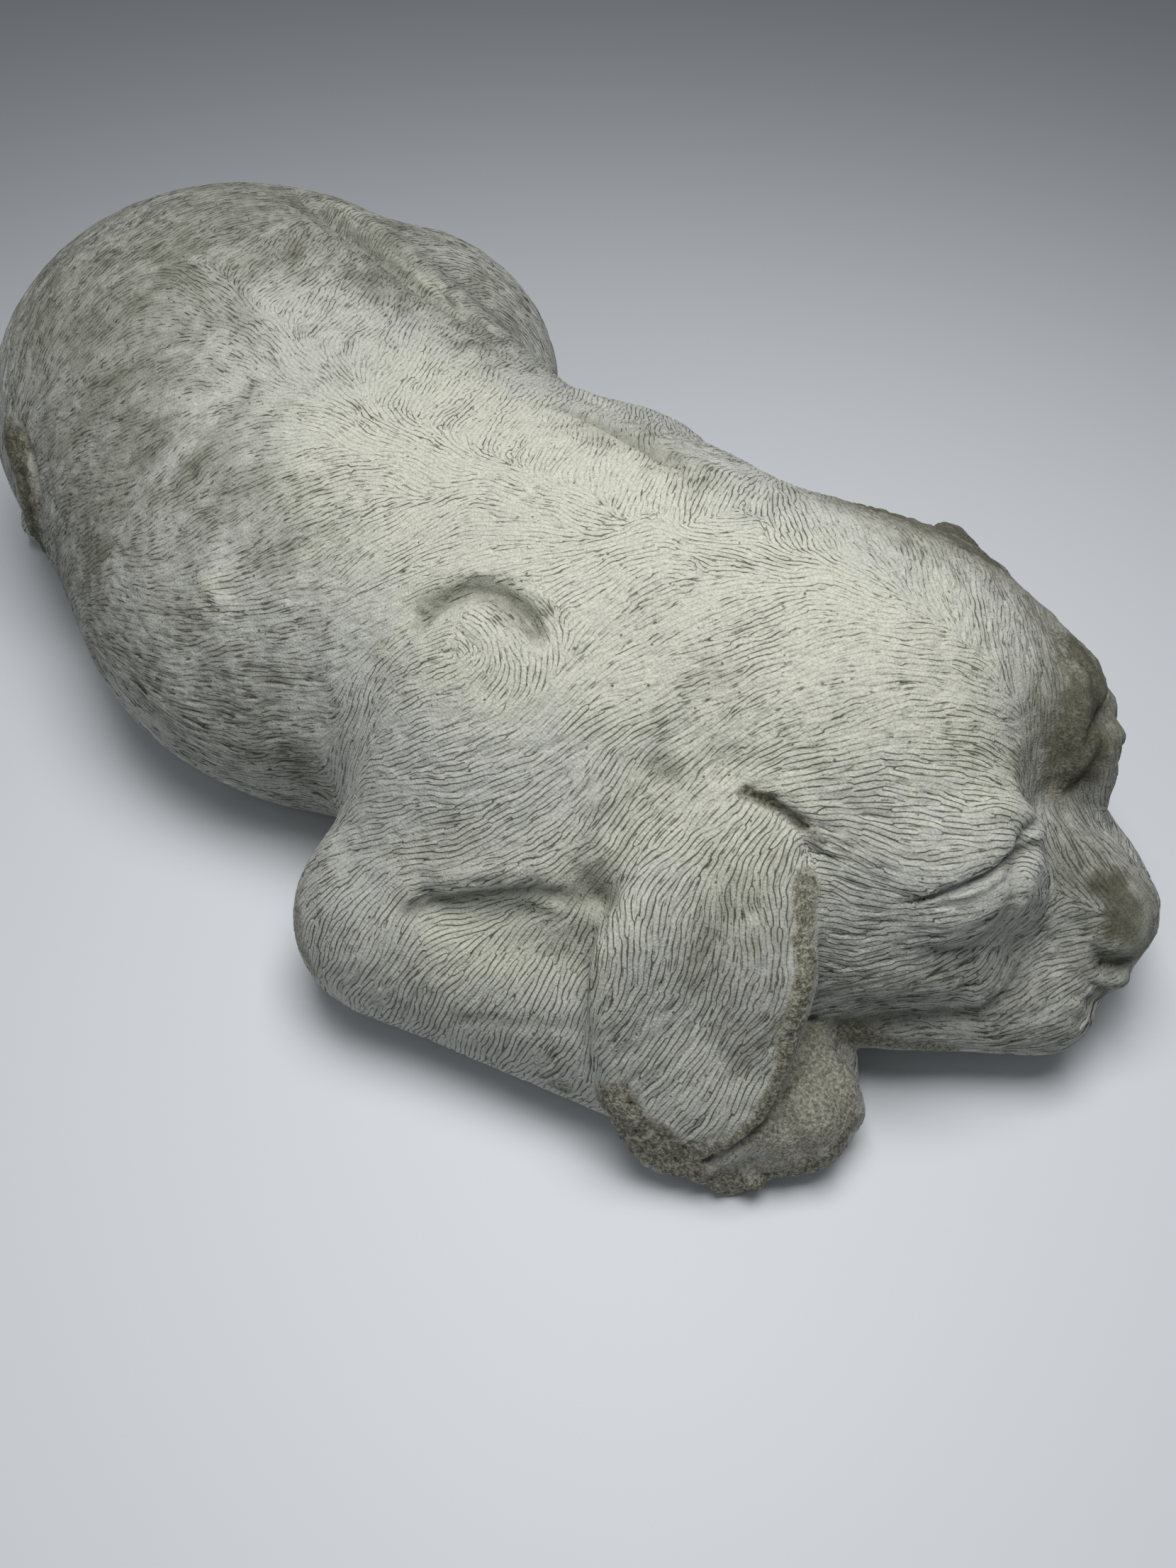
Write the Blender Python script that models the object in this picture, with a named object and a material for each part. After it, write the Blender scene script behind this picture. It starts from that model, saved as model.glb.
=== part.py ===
import math

import bmesh
import bpy
import numpy as np
from mathutils import Euler, Matrix, Vector

# Driving dimensions, in metres
BODY_LENGTH = 0.354        # rump to nose tip, the whole cast
SCULPT_STEP = 0.0021       # edge of the fine net that the form is first shaped on
MOST_TRIANGLES = 9300      # faces that the finished cast keeps

# The pose is drawn in figure units: +X to the nose, +Y to the dog's left, +Z up from the base
FIGURE_LENGTH = 354
UNIT = BODY_LENGTH / FIGURE_LENGTH

# Weathered cast concrete
CONCRETE = {"colour": (0.40, 0.39, 0.34, 1), "roughness": 0.92, "metallic": 0.0}

# Each mass: name, kind, its shape, and how softly it melts into the masses before it.
# An oval is centre, radii and turn (roll, pitch, yaw in degrees); a limb is start, end and the two radii.
BODY = [
    ("rump", "oval", ((-98, 12, 38), (74, 72, 60), (0, 0, 16)), 0),
    ("belly", "oval", ((-32, -14, 34), (78, 74, 56), (0, 0, -4)), 26),
    ("chest", "oval", ((38, -14, 38), (60, 56, 49), (0, 0, 0)), 24),
    ("haunch", "oval", ((-79, 59, 37), (46, 36, 42), (0, 0, 8)), 5),
    ("hind_foot", "limb", ((-112, 70, 11), (-66, 86, 9), 15, 11), 8),
    ("hind_paw", "oval", ((-58, 87, 9), (15, 11, 10), (0, 0, 10)), 5),
    ("tail_root", "limb", ((-150, 34, 14), (-165, 0, 12), 16, 12), 8),
    ("tail", "limb", ((-165, 0, 12), (-150, -38, 8), 12, 8), 5),
    ("shoulder", "oval", ((50, -49, 38), (42, 36, 40), (0, 0, 0)), 18),
    ("upper_arm", "limb", ((54, -66, 33), (44, -88, 23), 29, 21), 12),
    ("forearm", "limb", ((42, -88, 19), (102, -77, 17), 22, 20), 6),
    ("near_fill", "oval", ((72, -58, 14), (46, 26, 24), (0, 0, 8)), 8),
    ("paw", "oval", ((128, -71, 10), (19, 17, 14), (0, 0, 12)), 6),
    ("raw_rim", "limb", ((112, -90, 3), (128, -87, 3), 6, 6), 4),
    ("far_arm", "limb", ((20, 32, 42), (-4, 66, 26), 27, 17), 14),
    ("far_forearm", "limb", ((0, 72, 18), (92, 59, 15), 18, 16), 7),
    ("far_fill", "oval", ((52, 46, 10), (56, 34, 20), (0, 0, 6)), 8),
    ("far_paw", "oval", ((110, 61, 11), (20, 17, 14), (0, 0, -12)), 6),
    ("neck", "limb", ((56, -10, 42), (84, -8, 42), 46, 42), 20),
    ("neck_skin", "limb", ((76, -46, 50), (98, -58, 50), 20, 12), 14),
    ("neck_fold", "oval", ((76, -66, 42), (26, 17, 20), (0, 0, 0)), 10),
]
HEAD_MIDLINE = -7          # where the head's middle lies across the figure
HEAD = [
    ("skull", "oval", ((100, -5, 41), (51, 56, 45), (0, 6, 0)), 14),
    ("muzzle", "limb", ((128, -7, 32), (157, -5, 29), 24, 15), 10),
    ("nose", "oval", ((167, -5, 27), (10, 13, 12), (0, 20, 0)), 5),
    ("throat", "oval", ((112, -6, 16), (40, 38, 24), (0, 0, 0)), 6),
    ("chin", "oval", ((146, -6, 13), (22, 20, 12), (0, 0, 0)), 6),
    ("lip_front", "oval", ((162, -6, 18), (11, 13, 11), (0, 0, 0)), 5),
]
# Masses made twice, with their places measured out from the head's middle
HEAD_PAIRS = [
    ("ear_root", "limb", ((102, 48, 46), (113, 62, 26), 14, 11), 8),
    ("cheek", "oval", ((122, 28, 32), (30, 24, 25), (0, 0, 0)), 12),
    ("brow", "oval", ((134, 20, 48), (19, 20, 18), (0, 0, 0)), 5),
    ("flew", "limb", ((140, 31, 20), (163, 17, 17), 14, 12), 8),
    ("nostril_wing", "oval", ((170, 7, 25), (6, 6, 8), (0, 0, 0)), 4),
]

# The near ear, from its root to its tip: middle of the leaf, way to its front edge, half its width
EAR = [
    ((103, -50, 61), (0.80, 0.60, 0.00), 13),
    ((107, -62, 57), (0.80, 0.60, -0.05), 19.5),
    ((110.5, -74, 47), (0.85, 0.50, -0.12), 21),
    ((114.5, -84, 32), (0.89, 0.44, -0.13), 19.5),
    ((118, -90.5, 18), (0.90, 0.43, -0.10), 15.5),
    ((119, -93, 8), (0.90, 0.43, 0.00), 9),
]
EAR_THICKNESS = 9
EAR_MELT = 3
FAR_EAR_TUCK = 6          # how much closer to the head the far ear lies

# Lines carved into the skin: name, depth, width, and the way each one runs. A ridge has a depth below 0.
CREASES = [
    ("thigh_crease", 4, 5, [(-90, 37, 94), (-69, 33, 91), (-58, 33, 87), (-48, 33, 84), (-38, 34, 80)]),
    ("second_thigh_crease", 3, 4, [(-95, 43, 92), (-76, 44, 89), (-57, 42, 83), (-44, 42, 77)]),
    ("spine_fold", 1.2, 2.5, [(-43, -31, 89), (-42, -38, 87)]),
    ("shoulder_blade", 1.6, 3.5, [(34, -57, 78), (36, -50, 82), (44, -46, 84), (52, -48, 84)]),
    ("elbow_fold", 3, 4, [(60, -92, 42), (70, -85, 44), (77, -80, 46), (86, -74, 43)]),
    ("ear_fold", 2.4, 2.6, [(98, -50, 72), (103, -51, 70), (109, -50, 68), (119, -50, 61)]),
    ("ear_hollow", 1.8, 8, [(105, -65, 61), (109, -72, 56), (113, -80, 46), (119, -85, 35)]),
    ("stop", 2.5, 8, [(140, -7, 68), (148, -7, 57)]),
    ("philtrum", 1.8, 2.2, [(177, -6, 22), (173, -6, 8)]),
]
# Carved on both sides of the face, with places measured out from the head's middle
FACE_CREASES = [
    ("closed_eye", 3.4, 2.4, [(137, 36, 55), (141, 33, 57), (145, 28, 59), (147, 22, 59)]),
    ("lower_lid", -1, 3, [(140, 36, 53), (145, 31, 53), (149, 25, 54)]),
    ("pouch", 1.4, 4, [(147, 21, 59), (149, 22, 55), (151, 23, 46), (149, 31, 41), (144, 37, 42)]),
    ("nose_ridge", -1, 3.5, [(149, 13, 55), (151, 18, 49), (151, 20, 40)]),
    ("lip", 2.2, 5, [(140, 48, 31), (151, 37, 28), (155, 31, 27), (158, 21, 28)]),
    ("nostril", 2.4, 2.2, [(172, 11, 30), (176, 8, 29)]),
    ("lip_fold", 1.6, 2.5, [(171, 17, 22), (175, 12, 23)]),
]
# Grooves between the toes, measured from the middle of each paw on its top
TOES = [
    ("inner_toe", 2.2, 2.6, [(8, 11, 9), (18, 10, -2)]),
    ("middle_toe", 2.2, 2.6, [(6, 2, 12), (19, 0, -2)]),
    ("outer_toe", 2.2, 2.6, [(6, -8, 9), (15, -11, -2)]),
]
PAWS = [(128, -71, 11), (110, 61, 11)]


def oval(points, centre, radii, turn):
    """Distance from an ellipsoid."""
    spin = np.array(Euler([math.radians(a) for a in turn]).to_matrix())
    local = (points - np.array(centre, float)) @ spin
    radii = np.array(radii, float)
    near = np.linalg.norm(local / radii, axis=1)
    slope = np.linalg.norm(local / radii**2, axis=1)
    return near * (near - 1) / np.maximum(slope, 1e-9)


def along_line(points, start, end):
    """For each point, its share of the way along a line and its offset from there."""
    start, end = np.array(start, float), np.array(end, float)
    along = end - start
    share = np.clip((points - start) @ along / (along @ along), 0, 1)
    return share, points - (start + share[:, None] * along)


def limb(points, start, end, start_radius, end_radius):
    """Distance from a tapered round limb."""
    share, offset = along_line(points, start, end)
    return np.linalg.norm(offset, axis=1) - (start_radius + (end_radius - start_radius) * share)


def between(rows, share):
    """A row of an ear part of the way from the second of four rows to the third, on a smooth curve."""
    flat = [np.array([*middle, *across, half], float) for middle, across, half in rows]
    before, start, end, after = flat
    slope_0, slope_1 = (end - before) / 2, (after - start) / 2
    mixed = (
        start * (1 - share) ** 2 * (1 + 2 * share)
        + end * share**2 * (3 - 2 * share)
        + slope_0 * share * (1 - share) ** 2
        - slope_1 * share**2 * (1 - share)
    )
    return mixed[:3], mixed[3:6], mixed[6]


def smooth_rows(rows, cuts=4):
    """The rows of an ear with more rows between them, so that it bends smoothly."""
    found = []
    for here in range(len(rows) - 1):
        four = [rows[min(max(here + step, 0), len(rows) - 1)] for step in (-1, 0, 1, 2)]
        found.extend(between(four, cut / cuts) for cut in range(cuts))
    return [*found, rows[-1]]


def far_rows(rows):
    """The near ear's rows mirrored about the head's middle and tucked in."""
    found = []
    for (x, y, z), (ahead, side, up), half in rows:
        found.append(((x, 2 * HEAD_MIDLINE - y - FAR_EAR_TUCK, z), (ahead, -side, up), half))
    return found


EARS = [smooth_rows(EAR), smooth_rows(far_rows(EAR))]


def flap(points, rows, thickness):
    """Distance from a bent leaf of even thickness with a round edge."""
    nearest = np.full(len(points), np.inf)
    best = np.full(len(points), np.inf)
    round_edge = thickness / 2
    for (start, across_0, half_0), (end, across_1, half_1) in zip(rows, rows[1:]):
        share, offset = along_line(points, start, end)
        across = np.outer(1 - share, across_0) + np.outer(share, across_1)
        across /= np.linalg.norm(across, axis=1, keepdims=True)
        half = half_0 + (half_1 - half_0) * share - round_edge
        sideways = (offset * across).sum(axis=1)
        rest = ((offset - across * sideways[:, None]) ** 2).sum(axis=1)
        over = np.maximum(np.abs(sideways) - half, 0)
        reach = (offset**2).sum(axis=1)
        closer = reach < nearest
        nearest[closer] = reach[closer]
        best[closer] = np.sqrt(over[closer] ** 2 + rest[closer]) - round_edge
    return best


def melt(first, second, width):
    """Two distances joined, with a fillet of this width where they meet."""
    if width == 0:
        return np.minimum(first, second)
    share = np.clip(0.5 + 0.5 * (second - first) / width, 0, 1)
    return second + (first - second) * share - width * share * (1 - share)


def carve(points, depth, width, path):
    """How far a crease lets the surface in at each point: a soft groove along its path."""
    nearest = np.full(len(points), np.inf)
    for start, end in zip(path, path[1:]):
        _, offset = along_line(points, start, end)
        nearest = np.minimum(nearest, (offset**2).sum(axis=1))
    return depth * np.exp(-nearest / width**2)


def on_side(place, side):
    x, y, z = place
    return (x, HEAD_MIDLINE + side * y, z)


def paired(kind, shape, side):
    """One of a pair of head masses, on the near side (-1) or the far side (1)."""
    if kind == "oval":
        centre, radii, (roll, pitch, yaw) = shape
        return on_side(centre, side), radii, (side * roll, pitch, side * yaw)
    start, end, start_radius, end_radius = shape
    return on_side(start, side), on_side(end, side), start_radius, end_radius


def every_mass():
    found = [*BODY, *HEAD]
    for name, kind, shape, width in HEAD_PAIRS:
        for side, word in ((-1, "near"), (1, "far")):
            found.append((f"{word}_{name}", kind, paired(kind, shape, side), width))
    return found


def every_crease():
    found = list(CREASES)
    for name, depth, width, path in FACE_CREASES:
        found.extend((name, depth, width, [on_side(place, side) for place in path]) for side in (-1, 1))
    for name, depth, width, path in TOES:
        for paw in PAWS:
            found.append((name, depth, width, [np.add(paw, place) for place in path]))
    return found


MASSES = every_mass()
GROOVES = every_crease()


def form(points):
    """Distance of each point, in figure units, from the whole figure."""
    total = np.full(len(points), 1e3)
    for _, kind, shape, width in MASSES:
        measure = oval if kind == "oval" else limb
        total = melt(total, measure(points, *shape), width)
    for rows in EARS:
        total = melt(total, flap(points, rows, EAR_THICKNESS), EAR_MELT)
    for _, depth, width, path in GROOVES:
        total = total + carve(points, depth, width, path)
    return total


def snapped(points, step=0.3):
    """Each point moved straight on to the form's surface."""
    here = form(points)
    slope = np.zeros_like(points)
    for axis in range(3):
        shift = np.zeros(3)
        shift[axis] = step
        slope[:, axis] = (form(points + shift) - here) / step
    steep = np.maximum((slope**2).sum(axis=1), 0.25)
    return points - slope * (here / steep)[:, None]


def rough_blobs():
    """Every mass as a plain ball, capsule or box in one mesh, in figure units."""
    bm = bmesh.new()
    for _, kind, shape, _ in MASSES:
        if kind == "oval":
            centre, radii, turn = shape
            turned = Euler([math.radians(a) for a in turn])
            place = Matrix.LocRotScale(Vector(centre), turned, Vector(radii))
            bmesh.ops.create_icosphere(bm, subdivisions=3, radius=1, matrix=place)
            continue
        start, end, start_radius, end_radius = shape
        start, end = Vector(start), Vector(end)
        for centre, size in ((start, start_radius), (end, end_radius)):
            ball = Matrix.Translation(centre)
            bmesh.ops.create_icosphere(bm, subdivisions=3, radius=size, matrix=ball)
        upright = (end - start).to_track_quat("Z", "X")
        bmesh.ops.create_cone(
            bm,
            cap_ends=True,
            segments=24,
            radius1=start_radius,
            radius2=end_radius,
            depth=(end - start).length,
            matrix=Matrix.LocRotScale(start.lerp(end, 0.5), upright, None),
        )
    for rows in (EAR, far_rows(EAR)):
        for row, next_row in zip(rows, rows[1:]):
            ear_slab(bm, row, next_row)
    return bm


def ear_slab(bm, row, next_row):
    """A plain box over one stretch of an ear."""
    (start, across_0, half_0), (end, across_1, half_1) = row, next_row
    start, end = Vector(start), Vector(end)
    down = (end - start).normalized()
    out = down.cross(Vector(across_0) + Vector(across_1)).normalized()
    turned = Matrix((out.cross(down) * -1, down, out)).transposed()
    size = Vector((half_0 + half_1, (end - start).length * 1.2, EAR_THICKNESS))
    place = Matrix.Translation(start.lerp(end, 0.5)) @ turned.to_4x4() @ Matrix.Diagonal(size).to_4x4()
    bmesh.ops.create_cube(bm, size=1, matrix=place)


def evaluated_mesh(obj):
    graph = bpy.context.evaluated_depsgraph_get()
    return bpy.data.meshes.new_from_object(obj.evaluated_get(graph))


def with_modifier(bm, kind, settings):
    """The body after one modifier, as a new bmesh; the old one is freed."""
    mesh = bpy.data.meshes.new("draft")
    bm.to_mesh(mesh)
    bm.free()
    draft = bpy.data.objects.new("draft", mesh)
    bpy.context.scene.collection.objects.link(draft)
    modifier = draft.modifiers.new(kind.title(), kind)
    for name, value in settings.items():
        setattr(modifier, name, value)
    made = bmesh.new()
    made.from_mesh(evaluated_mesh(draft))
    bpy.data.objects.remove(draft)
    return made


def without_hollows(bm):
    """Keeps the largest skin, without the hollows left inside it or in its base between the masses."""
    left = set(bm.verts)
    shells = []
    while left:
        shell = [left.pop()]
        for vert in shell:
            beside = {edge.other_vert(vert) for edge in vert.link_edges} & left
            left -= beside
            shell.extend(beside)
        shells.append(shell)
    shells.sort(key=len)
    bmesh.ops.delete(bm, geom=[vert for shell in shells[:-1] for vert in shell], context="VERTS")


def settle(bm, rounds=5):
    """Moves every vertex on to the form, evening out the net between the moves."""
    verts = list(bm.verts)
    for turn in range(rounds):
        for vert, point in zip(verts, snapped(np.array([v.co for v in verts]))):
            vert.co = point
        if turn < rounds - 1:
            bmesh.ops.smooth_vert(
                bm, verts=verts, factor=0.4, use_axis_x=True, use_axis_y=True, use_axis_z=True
            )


def flat_base(bm):
    """Cuts the body off level at the ground and closes it with a flat base."""
    bmesh.ops.bisect_plane(
        bm,
        geom=bm.verts[:] + bm.edges[:] + bm.faces[:],
        dist=1e-6,
        plane_co=(0, 0, 0),
        plane_no=(0, 0, -1),
        clear_outer=True,
    )
    without_hollows(bm)
    bmesh.ops.holes_fill(bm, edges=[edge for edge in bm.edges if edge.is_boundary], sides=0)
    bmesh.ops.triangulate(bm, faces=bm.faces[:])


def concrete():
    material = bpy.data.materials.new("cast_concrete")
    material.use_nodes = True
    shader = material.node_tree.nodes["Principled BSDF"]
    shader.inputs["Base Color"].default_value = CONCRETE["colour"]
    shader.inputs["Roughness"].default_value = CONCRETE["roughness"]
    shader.inputs["Metallic"].default_value = CONCRETE["metallic"]
    return material


def build_puppy():
    bm = with_modifier(
        rough_blobs(), "REMESH", {"mode": "VOXEL", "voxel_size": SCULPT_STEP / UNIT}
    )
    without_hollows(bm)
    settle(bm)
    bmesh.ops.scale(bm, vec=(UNIT, UNIT, UNIT), verts=bm.verts)
    bm = with_modifier(bm, "DECIMATE", {"ratio": MOST_TRIANGLES / (2 * len(bm.faces))})
    flat_base(bm)
    lows = [min(v.co[axis] for v in bm.verts) for axis in range(2)]
    highs = [max(v.co[axis] for v in bm.verts) for axis in range(2)]
    middle = [(low + high) / 2 for low, high in zip(lows, highs)]
    bmesh.ops.translate(bm, vec=(-middle[0], -middle[1], 0), verts=bm.verts)
    mesh = bpy.data.meshes.new("puppy_statue")
    bm.to_mesh(mesh)
    bm.free()
    mesh.shade_smooth()
    mesh.materials.append(concrete())
    puppy = bpy.data.objects.new("puppy_statue", mesh)
    bpy.context.scene.collection.objects.link(puppy)


def main():
    for obj in list(bpy.data.objects):
        bpy.data.objects.remove(obj)
    build_puppy()


main()
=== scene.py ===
import itertools
import math

import bmesh
import bpy
import numpy as np
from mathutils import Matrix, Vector
from mathutils.bvhtree import BVHTree
from mathutils.kdtree import KDTree


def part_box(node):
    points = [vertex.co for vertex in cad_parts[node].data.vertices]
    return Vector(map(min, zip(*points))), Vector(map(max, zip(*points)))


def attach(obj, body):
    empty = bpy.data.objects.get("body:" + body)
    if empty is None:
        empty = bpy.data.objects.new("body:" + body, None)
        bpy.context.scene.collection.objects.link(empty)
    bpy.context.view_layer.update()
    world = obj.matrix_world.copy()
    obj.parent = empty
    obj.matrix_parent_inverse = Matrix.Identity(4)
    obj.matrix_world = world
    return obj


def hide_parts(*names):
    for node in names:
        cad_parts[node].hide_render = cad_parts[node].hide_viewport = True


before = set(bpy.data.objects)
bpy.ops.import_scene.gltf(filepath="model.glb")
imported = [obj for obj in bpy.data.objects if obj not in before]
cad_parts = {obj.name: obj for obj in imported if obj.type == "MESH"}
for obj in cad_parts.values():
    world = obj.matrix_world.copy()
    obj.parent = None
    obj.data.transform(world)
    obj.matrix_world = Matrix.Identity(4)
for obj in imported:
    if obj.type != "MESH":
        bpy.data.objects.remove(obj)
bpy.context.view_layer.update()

# Everything below is measured in figure millimetres: +X to the nose, +Y to the dog's left, +Z up.
# The figure's own zero lies this far from the low corner of the cast's box.
mm = 0.001
zeroFromCorner = (178.2, 111.0)
nodeLow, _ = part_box("puppy_statue")
figureZero = Vector((nodeLow.x + zeroFromCorner[0] * mm, nodeLow.y + zeroFromCorner[1] * mm, 0))

camera = {
    "place": (160, -180, 235),      # mm, a phone held close over the head's near side
    "turn": 36,                     # degrees round, from +Y towards -X
    "dip": 50,                      # degrees below level
    "focal": 1660,                  # pixels of the 1659 x 2212 picture
    "frame": (1659, 2212),
    "sensor": 36,                   # mm, across the picture's long side
    "nearest": 0.01,                # m, where the camera starts to see
}


def toFigure(points):
    return (np.asarray(points, float) - np.array(figureZero)) / mm


def toModel(points):
    return np.asarray(points, float) * mm + np.array(figureZero)


def cameraAxes():
    turn, dip = math.radians(camera["turn"]), math.radians(camera["dip"])
    ahead = Vector((-math.sin(turn) * math.cos(dip), math.cos(turn) * math.cos(dip), -math.sin(dip)))
    right = ahead.cross(Vector((0, 0, 1))).normalized()
    return ahead, right, right.cross(ahead)


def makeCamera():
    ahead, _, _ = cameraAxes()
    data = bpy.data.cameras.new("camera")
    data.sensor_width = camera["sensor"]
    data.lens = camera["sensor"] * camera["focal"] / camera["frame"][1]
    data.clip_start = camera["nearest"]
    obj = bpy.data.objects.new("camera", data)
    obj.location = Vector(camera["place"]) * mm + figureZero
    obj.rotation_mode = "QUATERNION"
    obj.rotation_quaternion = ahead.to_track_quat("-Z", "Y")
    bpy.context.scene.collection.objects.link(obj)
    bpy.context.scene.camera = obj


makeCamera()
print("camera placed")

# The cast's form
cast = {
    "net": 0.5,      # mm, edge of the net that the carving is made on
    "evening": 8,                          # rounds of smoothing that take the facets off
    "triangles": 196000,
    "rim": 0.3,                            # mm, lower places belong to the underside
    "headMiddle": -7,                      # mm, the face's own middle, which its carving is mirrored across
}


def evaluated(obj):
    graph = bpy.context.evaluated_depsgraph_get()
    return bpy.data.meshes.new_from_object(obj.evaluated_get(graph))


def shaped(mesh, steps):
    # a mesh after a stack of modifiers
    obj = bpy.data.objects.new("draft", mesh)
    bpy.context.scene.collection.objects.link(obj)
    for kind, settings in steps:
        modifier = obj.modifiers.new(kind.title(), kind)
        for name, value in settings.items():
            setattr(modifier, name, value)
    made = evaluated(obj)
    bpy.data.objects.remove(obj)
    bpy.data.meshes.remove(mesh)
    return made


def roundedForm():
    # the CAD body with its facets rounded off, on a fine even net
    bm = bmesh.new()
    bm.from_mesh(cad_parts["puppy_statue"].data)
    bmesh.ops.remove_doubles(bm, verts=bm.verts[:], dist=1e-6)
    mesh = bpy.data.meshes.new("form")
    bm.to_mesh(mesh)
    bm.free()
    return shaped(mesh, [
        ("SUBSURF", {"levels": 2, "render_levels": 2}),
        ("REMESH", {"mode": "VOXEL", "voxel_size": cast["net"] * mm}),
        ("SMOOTH", {"factor": 0.5, "iterations": cast["evening"]}),
    ])


class Skin:
    # the net's points and faces as arrays, in figure millimetres
    def __init__(self, mesh):
        self.mesh = mesh
        self.points = toFigure(readVectors(mesh.vertices, "co"))
        corners = np.empty(len(mesh.loops), np.int32)
        mesh.loops.foreach_get("vertex_index", corners)
        self.quads = corners.reshape(-1, 4)

    def normals(self):
        p, q = self.points, self.quads
        flat = np.cross(p[q[:, 2]] - p[q[:, 0]], p[q[:, 3]] - p[q[:, 1]])
        total = np.zeros_like(p)
        for axis in range(3):
            for corner in range(4):
                total[:, axis] += np.bincount(q[:, corner], flat[:, axis], len(p))
        return total / np.maximum(np.linalg.norm(total, axis=1, keepdims=True), 1e-9)

    def write(self):
        self.mesh.vertices.foreach_set("co", toModel(self.points).astype(np.float32).ravel())
        self.mesh.update()


def readVectors(items, name):
    flat = np.empty(len(items) * 3, np.float32)
    items.foreach_get(name, flat)
    return flat.reshape(-1, 3).astype(float)


skin = Skin(roundedForm())
print("form rounded:", len(skin.points), "points")

# Places in the photograph, laid on to the form by the camera's own rays
formTree = BVHTree.FromPolygons([tuple(p) for p in skin.points], skin.quads.tolist())


def seenAt(x, y):
    ahead, right, up = cameraAxes()
    halfWide, halfHigh = camera["frame"][0] / 2, camera["frame"][1] / 2
    ray = (ahead * camera["focal"] + right * (x - halfWide) - up * (y - halfHigh)).normalized()
    place, normal, _, _ = formTree.ray_cast(Vector(camera["place"]), ray)
    return (place, normal) if place is not None and place.z > cast["rim"] else None


def laidPath(places):
    # a line of places on the form, missing the ones that fall beside it
    return [hit[0] for hit in (seenAt(x, y) for x, y in places) if hit]


def acrossFace(path):
    return [Vector((p.x, 2 * cast["headMiddle"] - p.y, p.z)) for p in path]


def pathDistance(points, path):
    # squared distance of each point from a line of places
    nearest = np.full(len(points), np.inf)
    legs = list(zip(path, path[1:])) or [(path[0], path[0] + Vector((0, 0, 0.01)))]
    for start, end in legs:
        start, end = np.array(start), np.array(end)
        along = end - start
        share = np.clip((points - start) @ along / max(along @ along, 1e-9), 0, 1)
        offset = points - (start + share[:, None] * along)
        nearest = np.minimum(nearest, (offset**2).sum(axis=1))
    return nearest


def nearPath(points, path, reach):
    box = np.array([list(p) for p in path])
    inside = ((points > box.min(0) - reach) & (points < box.max(0) + reach)).all(axis=1)
    return np.flatnonzero(inside)


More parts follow.
